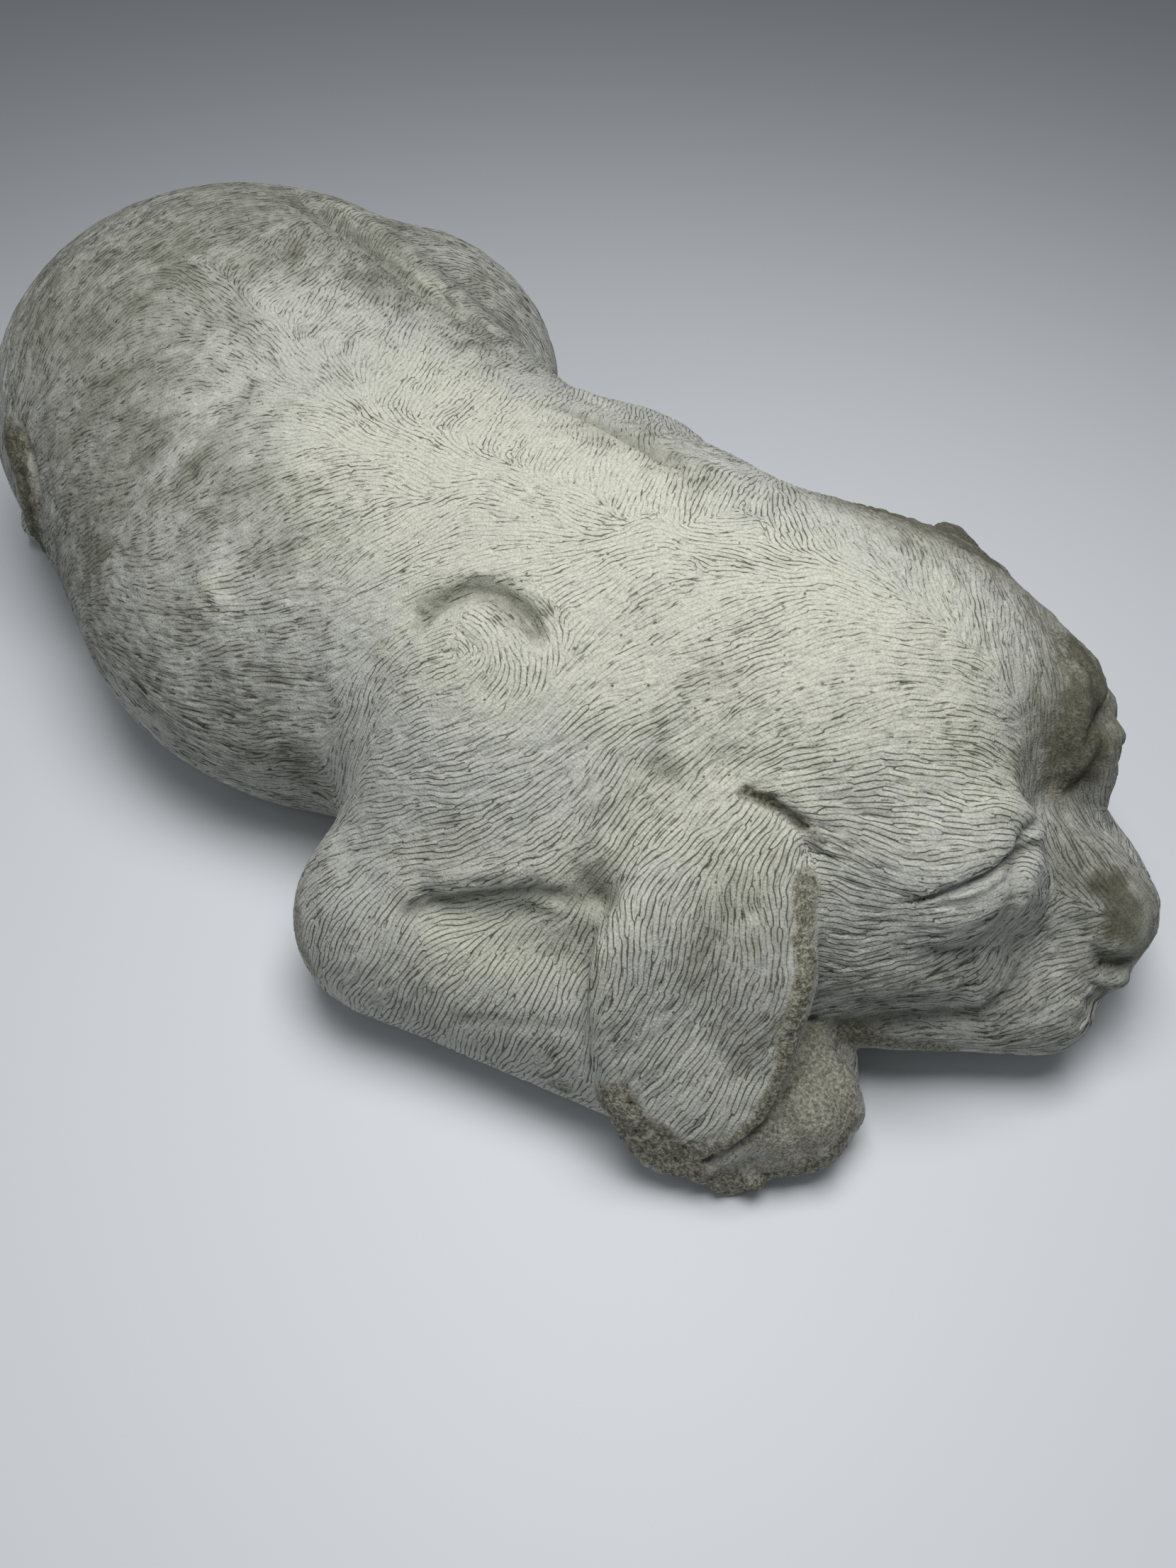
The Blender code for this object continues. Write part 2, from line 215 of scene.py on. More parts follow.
# Carving that shows from a step away, as (depth, width, places); a swelling has a depth below 0
carving = {
    "eyeSlit": (1.6, 0.75, [(1294, 1266), (1334, 1253), (1373, 1235), (1395, 1221), (1414, 1201)]),
    "lidFold": (0.35, 0.5, [(1337, 1260), (1372, 1249), (1394, 1236), (1411, 1218)]),
    "lidBand": (-0.8, 1.9, [(1340, 1266), (1372, 1258), (1400, 1240)]),
    "lidUnder": (0.6, 1.0, [(1322, 1277), (1358, 1278), (1390, 1264), (1412, 1240)]),
    "upperLid": (-2.4, 11, [(1300, 1205), (1350, 1185), (1395, 1175)]),
    "upperLidEdge": (-0.9, 2.4, [(1300, 1254), (1345, 1236), (1385, 1215), (1408, 1190)]),
    "pouchFold": (0.6, 1.8, [(1424, 1212), (1420, 1262), (1405, 1303), (1360, 1337), (1308, 1338)]),
    "pouch": (-1.0, 7, [(1330, 1300), (1375, 1290)]),
    "pouchRidge": (-0.9, 1.7, [(1433, 1240), (1429, 1270), (1420, 1300), (1405, 1325)]),
    "browEnd": (-1.5, 2.6, [(1390, 1147), (1435, 1148), (1464, 1166), (1452, 1180)]),
    "browUnder": (1.5, 1.5, [(1470, 1190), (1440, 1197), (1418, 1203)]),
    "browCrease": (0.9, 1.2, [(1452, 1163), (1438, 1172), (1425, 1186)]),
    "stopSide": (1.2, 5, [(1478, 1180), (1482, 1120), (1478, 1060)]),
    "tearPit": (1.0, 1.3, [(1452, 1236), (1456, 1246)]),
    "nostril": (2.6, 1.5, [(1566, 1365), (1580, 1364), (1596, 1360)]),
    "noseSide": (0.8, 1.6, [(1590, 1378), (1565, 1372), (1545, 1345)]),
    "lipNub": (-1.2, 2.4, [(1570, 1380), (1583, 1384)]),
    "lipCreaseA": (0.7, 1.1, [(1528, 1378), (1548, 1392), (1562, 1397)]),
    "lipCreaseB": (0.7, 1.1, [(1518, 1404), (1540, 1410), (1556, 1413)]),
    "lipCreaseC": (0.6, 1.1, [(1506, 1430), (1528, 1440), (1543, 1440)]),
    "mouthLine": (0.8, 2.6, [(1190, 1446), (1264, 1438), (1343, 1429), (1384, 1411), (1424, 1380)]),
    "earFold": (1.6, 1.0, [(1050, 1118), (1082, 1128), (1104, 1146), (1130, 1164)]),
    "earFoldEnd": (-1.4, 2.4, [(1146, 1178), (1172, 1196)]),
    "earFoldLip": (-1.2, 2.6, [(1060, 1104), (1100, 1118), (1140, 1142)]),
    "earRootRidge": (-0.9, 4.5, [(1010, 1150), (1030, 1200), (1035, 1260)]),
    "earHollow": (0.8, 7, [(990, 1300), (1010, 1370), (980, 1430)]),
    "backCrease": (0.8, 1.2, [(354, 543), (342, 562), (325, 581)]),
    "shoulderArc": (1.9, 1.6, [(585, 884), (622, 851), (665, 832), (703, 838), (740, 862), (758, 900)]),
    "shoulderLip": (-1.0, 3.2, [(600, 845), (660, 812), (715, 815), (762, 850)]),
    "shoulderCrown": (-1.0, 9, [(640, 905), (690, 900)]),
    "armFold": (0.9, 1.8, [(575, 1283), (625, 1266), (690, 1256), (760, 1254), (848, 1276)]),
    "armFoldLip": (-1.2, 4.0, [(640, 1240), (700, 1228), (760, 1224)]),
    "forearmCrown": (-1.6, 13, [(640, 1330), (720, 1330), (800, 1340)]),
    "forearmWrinkle": (0.4, 1.3, [(640, 1432), (700, 1441), (765, 1443), (818, 1449)]),
    "elbowValley": (1.3, 7, [(446, 1180), (470, 1110), (492, 1040), (520, 960)]),
    "armpitPit": (1.2, 4, [(848, 1262), (832, 1240)]),
    "thighFoldA": (2.4, 1.7, [(420, 268), (503, 340), (554, 376), (600, 412), (640, 447)]),
    "thighFoldB": (1.7, 1.7, [(452, 285), (520, 322), (590, 383), (640, 430), (700, 470)]),
    "thighRidge": (-2.0, 2.0, [(470, 300), (525, 345), (585, 390), (640, 428)]),
    "neckScar": (-0.7, 1.6, [(838, 1098), (842, 1120), (838, 1135)]),
    "neckPit": (0.8, 1.8, [(925, 1085), (948, 1092)]),
    "whiteNub": (-0.8, 2.0, [(292, 828), (304, 846)]),
    "muzzleFill": (-2.8, 5.5, [(1450, 1245), (1452, 1290), (1446, 1335), (1425, 1375), (1380, 1400)]),
    "jawFill": (-1.0, 7, [(1250, 1392), (1320, 1385), (1380, 1370)]),
    "earTipEdge": (2.4, 1.0, [(1146, 1440), (1124, 1508), (1088, 1570), (1040, 1622), (1000, 1644)]),
    "pawNub": (-2.0, 2.0, [(1062, 1664), (1082, 1668)]),
    "pawCrown": (-1.2, 5, [(1150, 1520), (1140, 1580)]),
    "farFold": (1.6, 2.2, [(800, 572), (850, 596), (900, 622), (944, 648)]),
    "farFoldLip": (-1.2, 2.4, [(820, 556), (870, 578), (920, 604)]),
    "tailEdge": (1.6, 1.3, [(30, 606), (46, 649), (54, 695), (58, 741), (70, 785)]),
    "tailSwell": (-1.6, 4.5, [(16, 622), (28, 660), (38, 700), (46, 738)]),
    "ribA": (0.9, 5.5, [(250, 800), (265, 900), (300, 1010)]),
    "ribB": (1.0, 5.5, [(480, 700), (440, 800), (428, 900), (440, 1010)]),
    "ribC": (0.7, 5, [(340, 780), (352, 880), (380, 1000)]),
}
faceCarving = [
    "eyeSlit", "lidFold", "lidBand", "lidUnder", "upperLid", "upperLidEdge",
    "pouchFold", "pouch", "pouchRidge", "browEnd", "browUnder", "browCrease", "stopSide", "tearPit",
    "nostril", "noseSide", "lipNub", "lipCreaseA", "lipCreaseB", "lipCreaseC", "mouthLine",
    "muzzleFill", "jawFill", "earFold", "earFoldLip",
]


def layCarving():
    # every carved line on the form, as (depth, width, places); the face's lines are on both its sides
    lines = []
    for name, (depth, width, places) in carving.items():
        path = laidPath(places)
        if not path:
            print("missed the form:", name)
            continue
        for line in [path, acrossFace(path)] if name in faceCarving else [path]:
            lines.append((depth, width, line))
    return lines


def carveForm():
    change = np.zeros(len(skin.points))
    for depth, width, line in carvedLines:
        close = nearPath(skin.points, line, 3 * width)
        change[close] -= depth * np.exp(-pathDistance(skin.points[close], line) / width**2)
    skin.points += skin.normals() * change[:, None]


carvedLines = layCarving()
carveForm()
print("main carving done")

# Random lattice for soft noise, seeded
latticeSide = 64
latticeStart = 1000     # cells, so that no place falls below the lattice's own zero
latticeShift = 17.3     # cells from one noise to the next
lattice = np.random.default_rng(7).random((latticeSide, latticeSide, latticeSide)) * 2 - 1


def softNoise(points, size, shift=0):
    # smooth noise from -1 to 1, whose lumps are about this many millimetres wide
    place = points / size + latticeStart + shift * latticeShift
    base = np.floor(place).astype(int)
    part = place - base
    part = part * part * (3 - 2 * part)
    total = np.zeros(len(points))
    for corner in itertools.product((0, 1), repeat=3):
        cell = (base + corner) % latticeSide
        weight = np.abs(1 - np.array(corner) - part).prod(axis=1)
        total += lattice[cell[:, 0], cell[:, 1], cell[:, 2]] * weight
    return total


# Where the surface differs, as (reach in mm, strength, places)
patches = {
    "raw": [      # unfinished grainy concrete, with little or no hair
        (15, 0.62, [(1170, 1500), (1150, 1560), (1110, 1610)]),
        (5, 1.0, [(1215, 1530), (1200, 1590), (1160, 1640), (1100, 1665), (1060, 1672)]),
        (7, 1.0, [(860, 1560), (900, 1610), (950, 1645), (1010, 1668), (1060, 1672)]),
        (3.2, 0.9, [(1136, 1240), (1136, 1300), (1137, 1367), (1124, 1440), (1104, 1520), (1066, 1590)]),
        (4.0, 0.8, [(1060, 1600), (1009, 1626), (960, 1622), (900, 1580), (872, 1540)]),
        (2.0, 0.8, [(1050, 1117), (1090, 1133), (1128, 1158), (1160, 1184)]),
        (4, 0.55, [(418, 1270), (422, 1320), (440, 1370)]),
        (4, 0.7, [(460, 1405), (530, 1450), (610, 1490), (700, 1520), (790, 1534)]),
        (5, 0.7, [(1190, 1458), (1260, 1474), (1330, 1480), (1400, 1490), (1480, 1490)]),
        (7, 1.0, [(18, 618), (32, 655), (43, 698), (50, 738), (60, 770)]),
        # the next five are painted shade as well as raw grain: far brow and far ear, on the darker far side
        (11, 0.6, [(1505, 925), (1520, 970), (1525, 1040), (1518, 1075)]),
        (22, 0.35, [(1500, 915), (1515, 960), (1520, 1040)]),
        (11, 0.55, [(1250, 722), (1310, 738), (1370, 768), (1395, 788)]),
        (24, 0.35, [(1250, 722), (1310, 738), (1390, 785)]),
        (11, 0.5, [(1332, 743), (1352, 751), (1374, 766)]),
        (2.6, 0.6, [(1452, 1232), (1457, 1246)]),
    ],
    "bare": [     # smooth skin without hair
        (3.8, 1.0, [(1345, 1266), (1375, 1258), (1402, 1238)]),
        (7, 0.8, [(1606, 1270), (1614, 1300), (1604, 1345)]),
        (1.8, 0.8, [(1433, 1250), (1425, 1290), (1408, 1322)]),
        (1.6, 0.9, [(838, 1098), (842, 1130)]),
    ],
    "short": [    # hair seen as short dashes
        (40, 1.0, [(760, 700), (900, 790), (1060, 850), (1200, 880)]),
        (95, 1.0, [(200, 560), (420, 600), (600, 660)]),
        (26, 0.8, [(650, 900), (760, 900)]),
    ],
    "creamAndLight": [    # pale bloom on the raised hair, and painted light: lighter tops and a painted highlight on the thigh ridge
        (52, 1.0, [(640, 640), (800, 720), (940, 820), (1080, 890), (1200, 940)]),
        (44, 0.4, [(240, 420), (330, 480), (450, 570), (560, 640)]),
        (22, 0.9, [(640, 880), (700, 920)]),
        # these two are painted light: the lit top beside the ear and the top of the forearm
        (26, 1.0, [(960, 1130), (1030, 1180)]),
        (26, 1.0, [(680, 1285), (740, 1285), (800, 1285)]),
        (7, 0.8, [(296, 836), (304, 846)]),
        (16, 0.5, [(960, 1520), (1020, 1560)]),
        # painted highlight along the thigh ridge
        (6, 1.0, [(470, 290), (535, 345), (600, 398), (640, 430)]),
    ],
    "stainAndShade": [    # greenish grey weathering, and painted shade on the rump, flank, haunch, ear hollow, far side and far fold
        (8, 1.3, [(1560, 1245), (1578, 1262), (1584, 1290)]),
        (20, 0.6, [(1520, 1200), (1560, 1260), (1575, 1310)]),
        (26, 0.45, [(300, 650), (330, 720), (380, 760)]),
        # the next three are painted shade as well as weathering: rump, flank and haunch, darker where less
        # light falls
        (60, 0.66, [(120, 640), (150, 500), (130, 420), (250, 300), (420, 300)]),
        (40, 0.45, [(160, 780), (240, 940), (340, 1080)]),
        (44, 0.5, [(560, 380), (660, 440)]),
        (15, 0.6, [(430, 300), (500, 370), (560, 420)]),
        (12, 0.5, [(640, 330), (720, 420), (750, 500)]),
        (6, 0.7, [(610, 856), (665, 832), (720, 842), (752, 880)]),
        (9, 0.3, [(910, 1080), (960, 1100)]),
        (10, 0.25, [(870, 1180), (846, 1240)]),
        (14, 0.4, [(1290, 1400), (1230, 1430)]),
        # painted shade as well as weathering: the ear's hollow centre
        (16, 0.45, [(1050, 1290), (1030, 1350), (1060, 1420)]),
        (12, 0.4, [(1000, 980), (1010, 1000)]),
        (16, 0.5, [(1430, 1400), (1500, 1440)]),
        (12, 0.4, [(1480, 1100), (1500, 1180)]),
        (8, 0.9, [(18, 618), (32, 655), (43, 698), (50, 738), (60, 770)]),
        # the next five are painted shade as well as growth: far brow and far ear, on the darker far side
        (13, 1.1, [(1515, 930), (1522, 1000), (1520, 1075)]),
        (26, 0.7, [(1500, 915), (1515, 960), (1520, 1040)]),
        (12, 1.0, [(1250, 722), (1310, 740), (1390, 785)]),
        (28, 0.6, [(1250, 722), (1310, 740), (1390, 785)]),
        (12, 1.0, [(1332, 743), (1352, 751), (1374, 766)]),
        # painted shade as well as weathering: the far flank's fold
        (16, 0.5, [(860, 600), (940, 640)]),
    ],
}
laidPatches = {
    name: [(reach, strength, laidPath(places)) for reach, strength, places in rows]
    for name, rows in patches.items()
}
patchEdge = {
    "ragged": 0.25,        # share of the reach that the edge wanders
    "fine": (0.7, 2.5),    # share and size, in mm, of the edge's finer raggedness
    "steep": 1.6,
}


def patchMask(name, points):
    mask = np.zeros(len(points))
    fineShare, fineSize = patchEdge["fine"]
    for number, (reach, strength, path) in enumerate(laidPatches[name]):
        if not path:
            continue
        close = nearPath(points, path, 1.5 * reach)
        near = points[close]
        far = np.sqrt(pathDistance(near, path)) / reach
        wander = softNoise(near, reach / 3, number) + fineShare * softNoise(near, fineSize, number + 3)
        far += patchEdge["ragged"] * wander
        mask[close] = np.maximum(mask[close], strength * np.clip(patchEdge["steep"] * (1 - far), 0, 1))
    return mask


# Which way the hair lies: lines drawn along it, from root to tip, at places in the photograph
hairLines = [
    # brow, eye and cheek
    [(1452, 1160), (1387, 1129), (1308, 1107), (1246, 1094)],
    [(1422, 1195), (1351, 1193), (1264, 1195), (1185, 1173)],
    [(1395, 1217), (1308, 1239), (1220, 1226), (1167, 1199)],
    [(1272, 1261), (1211, 1252), (1145, 1235)],
    [(1308, 1278), (1220, 1296), (1145, 1296)],
    [(1378, 1314), (1286, 1336), (1198, 1349), (1140, 1358)],
    [(1496, 1261), (1395, 1358), (1264, 1401), (1154, 1428)],
    [(1549, 1331), (1461, 1358), (1373, 1410), (1286, 1428)],
    [(1540, 1390), (1483, 1445), (1395, 1467), (1330, 1463)],
    [(1558, 1410), (1540, 1445), (1505, 1485)],
    [(1444, 1261), (1422, 1314), (1395, 1349)],
    [(1575, 1250), (1530, 1190), (1500, 1138)],
    [(1479, 1195), (1479, 1116), (1483, 1072)],
    # top of the head, near side and far side
    [(1427, 1003), (1347, 981), (1240, 981), (1133, 1024)],
    [(1443, 1093), (1373, 1067), (1267, 1067), (1160, 1099), (1080, 1104)],
    [(1320, 907), (1213, 891), (1107, 939), (1016, 1003)],
    [(1213, 816), (1080, 816), (973, 853), (867, 917)],
    [(1080, 757), (973, 757), (867, 795), (787, 843)],
    [(1500, 1060), (1492, 1000), (1480, 920), (1455, 850)],
    [(1400, 896), (1389, 827), (1370, 785)],
    [(1293, 816), (1272, 763), (1240, 731)],
    [(1160, 770), (1149, 735)],
    [(973, 725), (984, 680)],
    [(867, 720), (893, 667)],
    # neck
    [(1145, 891), (1036, 930), (927, 973), (845, 1006)],
    [(845, 930), (779, 1006)],
    [(981, 1028), (899, 1072), (856, 1137)],
    [(1009, 1083), (927, 1154), (872, 1219)],
    # shoulder whorl
    [(708, 864), (752, 919), (757, 973), (719, 1023), (642, 1050), (560, 1083)],
    [(664, 864), (708, 902), (713, 946), (675, 984), (599, 1006), (533, 1028)],
    [(642, 880), (560, 919)],
    [(735, 1083), (653, 1110), (571, 1105), (517, 1116)],
    [(790, 1137), (708, 1192), (626, 1219), (588, 1225)],
    [(872, 1165), (790, 1219), (708, 1263), (626, 1274)],
    [(533, 946), (489, 1039), (473, 1110)],
    [(588, 837), (489, 880), (435, 908)],
    [(763, 782), (681, 798), (599, 826)],
    # foreleg
    [(571, 1247), (517, 1329), (489, 1383)],
    [(735, 1345), (686, 1411)],
    [(626, 1383), (588, 1454)],
    [(830, 1330), (790, 1400), (750, 1470)],
    # near ear
    [(1076, 1152), (1044, 1192), (1028, 1248), (1032, 1320)],
    [(1060, 1260), (1076, 1320), (1084, 1368), (1068, 1420), (1028, 1472), (960, 1540)],
    [(1124, 1210), (1116, 1260), (1112, 1328), (1120, 1384), (1112, 1440), (1076, 1500), (1044, 1560)],
    [(880, 1280), (896, 1336), (892, 1384), (862, 1432)],
    [(960, 1212), (932, 1272), (924, 1336), (912, 1400), (872, 1460)],
    [(992, 1360), (972, 1420), (920, 1480), (880, 1528)],
    [(1028, 1480), (992, 1540), (960, 1580)],
    [(1012, 1140), (960, 1192), (900, 1252)],
    # back and flank, near side
    [(321, 441), (258, 429), (189, 446), (132, 498)],
    [(373, 515), (287, 492), (218, 515), (155, 561)],
    [(459, 584), (367, 584), (287, 618), (218, 676)],
    [(573, 641), (487, 641), (401, 676), (321, 727), (247, 756)],
    [(688, 687), (602, 716), (516, 768), (447, 813), (373, 848)],
    [(401, 899), (321, 905), (229, 917), (172, 899)],
    [(447, 1014), (373, 1003), (287, 991)],
    [(344, 1071), (258, 1043), (189, 985)],
    [(462, 864), (407, 875)],
    [(451, 1001), (396, 1006)],
    [(435, 1110), (391, 1105)],
    [(172, 561), (115, 584), (63, 630)],
    [(115, 383), (69, 441), (40, 510)],
    [(172, 699), (115, 727), (80, 773)],
    # along the spine
    [(1240, 850), (1120, 808), (1000, 780), (880, 750), (760, 712), (660, 688)],
    [(640, 680), (560, 640), (450, 568), (340, 465), (250, 390)],
    # back and haunch, far side
    [(344, 412), (401, 372), (436, 326)],
    [(459, 481), (516, 429), (545, 395)],
    [(573, 561), (619, 515), (659, 469)],
    [(659, 595), (705, 561), (745, 527)],
    [(780, 660), (810, 620), (830, 590)],
    [(573, 343), (631, 343), (688, 372)],
    [(659, 423), (705, 435), (740, 469)],
    [(516, 297), (573, 309)],
    [(250, 330), (310, 300), (390, 290)],
]
# The parting along the back seen from above, in mm, which the hidden side's hair is mirrored across
parting = [
    (-180, -5), (-120, -12), (-72, -20), (-26, -28), (13, -31), (42, -26), (68, -20), (100, -8), (180, -8),
]
hair = {
    "reach": 3.0,            # mm, how closely the hair keeps to a drawn line
    "unseen": 0.12,          # pull of the mirrored lines, which comb the side that the photo hides
    "grazing": 0.04,         # least pull of a line on skin that is turned away from it
    "leg": (0.5, 45),        # mm, shortest and longest leg of a drawn line that counts
    "sway": 0.22,            # radians that locks swing to and fro
    "swayLength": (9, 4),    # mm, broad locks and the finer ones in them
    "fineSway": 0.6,
    "stray": (0.09, 0.28),   # radians that a long strand and a dash turn from their neighbours
    "spacing": (0.9, 1.8),   # mm between strands
    "length": (6, 17),       # mm, long strands
    "dash": (1.8, 5.0),      # mm, short ones on the back and crown
    "step": 0.7,             # mm between the marks of one strand
    "crowding": 0.72,        # share of its spacing that a strand keeps clear as it grows
    "taper": 3.2,            # how soon a strand reaches its full depth
    "bald": 0.35,            # below this share of hair the skin carries none
    "lowest": 1.5,           # mm above the ground
    "underside": -0.75,      # skin that faces down more than this has none
    "ground": 0.8,           # mm, no groove is cut below this height
    "endFade": 0.6,          # how fast a groove shallows past its last mark
    "streaks": ((0.9, 1.3, 2), (0.45, 4.5, 5)),    # share, size in mm, and steps that each is smeared
    "smear": 1.3,            # mm, one such step
    "depth": (0.3, 0.85),    # mm
    "width": 0.34,           # mm, half the width of a groove
    "seeds": 60000,
}


def combSamples():
    samples = []
    xs, ys = zip(*parting)
    for line in hairLines:
        hits = [hit for hit in (seenAt(x, y) for x, y in line) if hit]
        for (start, n0), (end, n1) in zip(hits, hits[1:]):
            shortest, longest = hair["leg"]
            if not shortest <= (end - start).length <= longest:
                continue
            way, facing = (end - start).normalized(), (n0 + n1).normalized()
            samples.append((*((start + end) / 2), *way, *facing, 1.0))
    seen = np.array(samples)
    unseen = seen.copy()
    unseen[:, 1] = 2 * np.interp(seen[:, 0], xs, ys) - seen[:, 1]
    unseen[:, [4, 7]] *= -1
    unseen[:, 9] = hair["unseen"]
    return np.vstack([seen, unseen])


def combed(points, normals):
    # the lie of the hair at each point, in the surface
    twist, lean = np.zeros((2, len(points))), np.zeros_like(points)
    side = np.cross(normals, (0.31, 0.27, 0.91))
    side /= np.maximum(np.linalg.norm(side, axis=1, keepdims=True), 1e-6)
    other = np.cross(normals, side)
    for sample in combSamples():
        place, way, facing, pull = sample[:3], sample[3:6], sample[6:9], sample[9]
        apart = ((points - place) ** 2).sum(axis=1) + hair["reach"] ** 2
        weight = pull * np.clip(normals @ facing, hair["grazing"], 1) ** 2 / apart**2
        u, v = side @ way, other @ way
        twist[0] += weight * (u * u - v * v)
        twist[1] += weight * 2 * u * v
        lean += weight[:, None] * way
    angle = np.arctan2(twist[1], twist[0]) / 2
    way = np.cos(angle)[:, None] * side + np.sin(angle)[:, None] * other
    way *= np.sign((way * lean).sum(axis=1) + 1e-12)[:, None]
    broad, fine = hair["swayLength"]
    swing = hair["sway"] * (softNoise(points, broad) + hair["fineSway"] * softNoise(points, fine, 3))
    across = np.cross(normals, way)
    return np.cos(swing)[:, None] * way + np.sin(swing)[:, None] * across


class Comb:
    # the lie of the hair kept on a thinned set of the net's points
    def __init__(self, every=6):
        self.normals = skin.normals()[::every]
        self.points = skin.points[::every]
        self.ways = combed(self.points, self.normals)
        self.tree = treeOf(self.points)
        self.streaks = sum(share * self.streaksOf(size, steps) for share, size, steps in hair["streaks"])

    def streaksOf(self, size, steps):
        # noise smeared along the hair, as even streaks about one unit strong
        streak = softNoise(self.points, size, 9)
        total = streak.copy()
        for sign in (-1, 1):
            moved = self.points + sign * hair["smear"] * self.ways
            beside = np.array([self.tree.find(p)[1] for p in moved.tolist()])
            here = beside.copy()
            for _ in range(steps):
                total += streak[here]
                here = beside[here]
        return (total - total.mean()) / total.std()


def treeOf(points):
    tree = KDTree(len(points))
    for number, point in enumerate(points.tolist()):
        tree.insert(point, number)
    tree.balance()
    return tree


comb = Comb()
print("hair combed:", len(comb.points), "points")


def drawStrands():
    # evenly spaced grooves that follow the hair, as marks with a depth and a direction
    rng = np.random.default_rng(11)
    keep = 1 - np.maximum(patchMask("raw", comb.points), patchMask("bare", comb.points))
    keep *= comb.points[:, 2] > hair["lowest"]
    keep *= comb.normals[:, 2] > hair["underside"]
    short = patchMask("short", comb.points)
    spots = [Vector(p) for p in comb.points]
    ways = [Vector(w) for w in comb.ways]
    facings = [Vector(n) for n in comb.normals]
    marks, cells = [], {}
    cellSize = hair["spacing"][1]

    def crowded(place, apart, own):
        cx, cy, cz = (int(c // cellSize) for c in place)
        for x, y, z in itertools.product((-1, 0, 1), repeat=3):
            for other, strand in cells.get((cx + x, cy + y, cz + z), ()):
                if strand != own and (other - place).length_squared < apart:
                    return True
        return False

    def walk(place, way, number, length, apart, stray):
        found = []
        for _ in range(int(length / hair["step"])):
            _, near, _ = comb.tree.find(place)
            if keep[near] < hair["bald"]:
                break
            turn = ways[near] + facings[near].cross(ways[near]) * stray
            way = turn.normalized() if turn.dot(way) > 0 else -turn.normalized()
            place = place + way * hair["step"]
            place = place - facings[near] * (place - spots[near]).dot(facings[near])
            if crowded(place, apart, number):
                break
            found.append((place, way, near))
        return found

    for strand, start in enumerate(rng.integers(0, len(spots), hair["seeds"]).tolist()):
        gap = float(rng.uniform(*hair["spacing"]))
        dashed = bool(rng.random() < short[start])
        reach = hair["dash"] if dashed else hair["length"]
        length, depth = float(rng.uniform(*reach)), float(rng.uniform(*hair["depth"]))
        stray = float(rng.normal(0, hair["stray"][dashed]))
        if keep[start] < hair["bald"] or crowded(spots[start], gap * gap, strand):
            continue
        apart = (hair["crowding"] * gap) ** 2
        ahead = walk(spots[start], ways[start], strand, length / 2, apart, stray)
        behind = walk(spots[start], -ways[start], strand, length / 2, apart, stray)
        line = [*reversed(behind), (spots[start], ways[start], start), *ahead]
        if len(line) < 3:
            continue
        for number, (place, way, near) in enumerate(line):
            share = (number + 0.5) / len(line)
            taper = min(1.0, hair["taper"] * share, hair["taper"] * (1 - share))
            marks.append((*place, *way, depth * taper * min(1, keep[near])))
            cells.setdefault(tuple(int(c // cellSize) for c in place), []).append((place, strand))
    return np.array(marks)


strands = drawStrands()
strandTree = treeOf(strands[:, :3])
print("strands drawn:", len(strands), "marks")


def grooveDepth(points):
    # how deep the nearest strand's groove is at each point
    nearest = np.array([strandTree.find(p)[1] for p in points.tolist()])
    mark = strands[nearest]
    offset = points - mark[:, :3]
    along = (offset * mark[:, 3:6]).sum(axis=1)
    past = np.maximum(np.abs(along) - hair["step"], 0)
    apart = (offset**2).sum(axis=1) - along**2 + past**2 * hair["endFade"]
    return mark[:, 6] * np.exp(-apart / hair["width"] ** 2)


# Unevenness of the skin, all in mm: raw edges are lumpy and pitted, the rest ripples faintly
skinRelief = {
    "lumps": ((0.5, 2.2, 1), (0.35, 1.1, 2), (0.4, 5, 4)),    # height, size, and which noise
    "pits": (2.3, 1.6, 0.55),                                  # depth, size, and how high the noise has to be
    "ripple": (0.16, 3.2),                                     # height, size
    "hem": (0.2, 1.7),                                         # heights between which the carving sets in
}


def carveHair():
    normals = skin.normals()
    points = skin.points
    upper = points[:, 2] > hair["ground"]
    change = np.zeros(len(points))
    change[upper] -= grooveDepth(points[upper])
    raw = patchMask("raw", points)
    lumps = sum(height * softNoise(points, size, kind) for height, size, kind in skinRelief["lumps"])
    pitDepth, pitSize, pitLevel = skinRelief["pits"]
    pits = np.clip(softNoise(points, pitSize, 5) - pitLevel, 0, 1)
    change += raw * (lumps - pitDepth * pits)
    rippleHeight, rippleSize = skinRelief["ripple"]
    change += (1 - raw) * rippleHeight * softNoise(points, rippleSize, 6)
    hemLow, hemHigh = skinRelief["hem"]
    change *= np.clip((points[:, 2] - hemLow) / (hemHigh - hemLow), 0, 1)
    skin.points = points + normals * change[:, None]
    skin.points[:, 2] = np.maximum(skin.points[:, 2], 0)


carveHair()
print("hair carved")


def thinned():
    skin.write()
    ratio = cast["triangles"] / (2 * len(skin.quads))
    return shaped(skin.mesh, [("DECIMATE", {"ratio": ratio, "use_collapse_triangulate": True})])


dirtAndShadeLine = {
    "widest": 4,     # mm, a wider hollow is a form and keeps no dark line of dirt and painted shade
    "share": 0.9,    # of the groove's width
}


def addAttribute(mesh, name, kind, values):
    field = "vector" if kind == "FLOAT_VECTOR" else "value"
    attribute = mesh.attributes.new(name, kind, "POINT")
    attribute.data.foreach_set(field, np.ascontiguousarray(values, np.float32).ravel())


def creasesOn(points):
    # 1 in the sharp carved lines, where dirt gathers and painted shade darkens them, down to 0 beside them
    creases = np.zeros(len(points))
    for depth, width, line in carvedLines:
        if depth < 0 or width > dirtAndShadeLine["widest"]:
            continue
        close = nearPath(points, line, 3 * width)
        fade = np.exp(-pathDistance(points[close], line) / (dirtAndShadeLine["share"] * width) ** 2)
        creases[close] = np.maximum(creases[close], min(1, depth) * fade)
    return creases


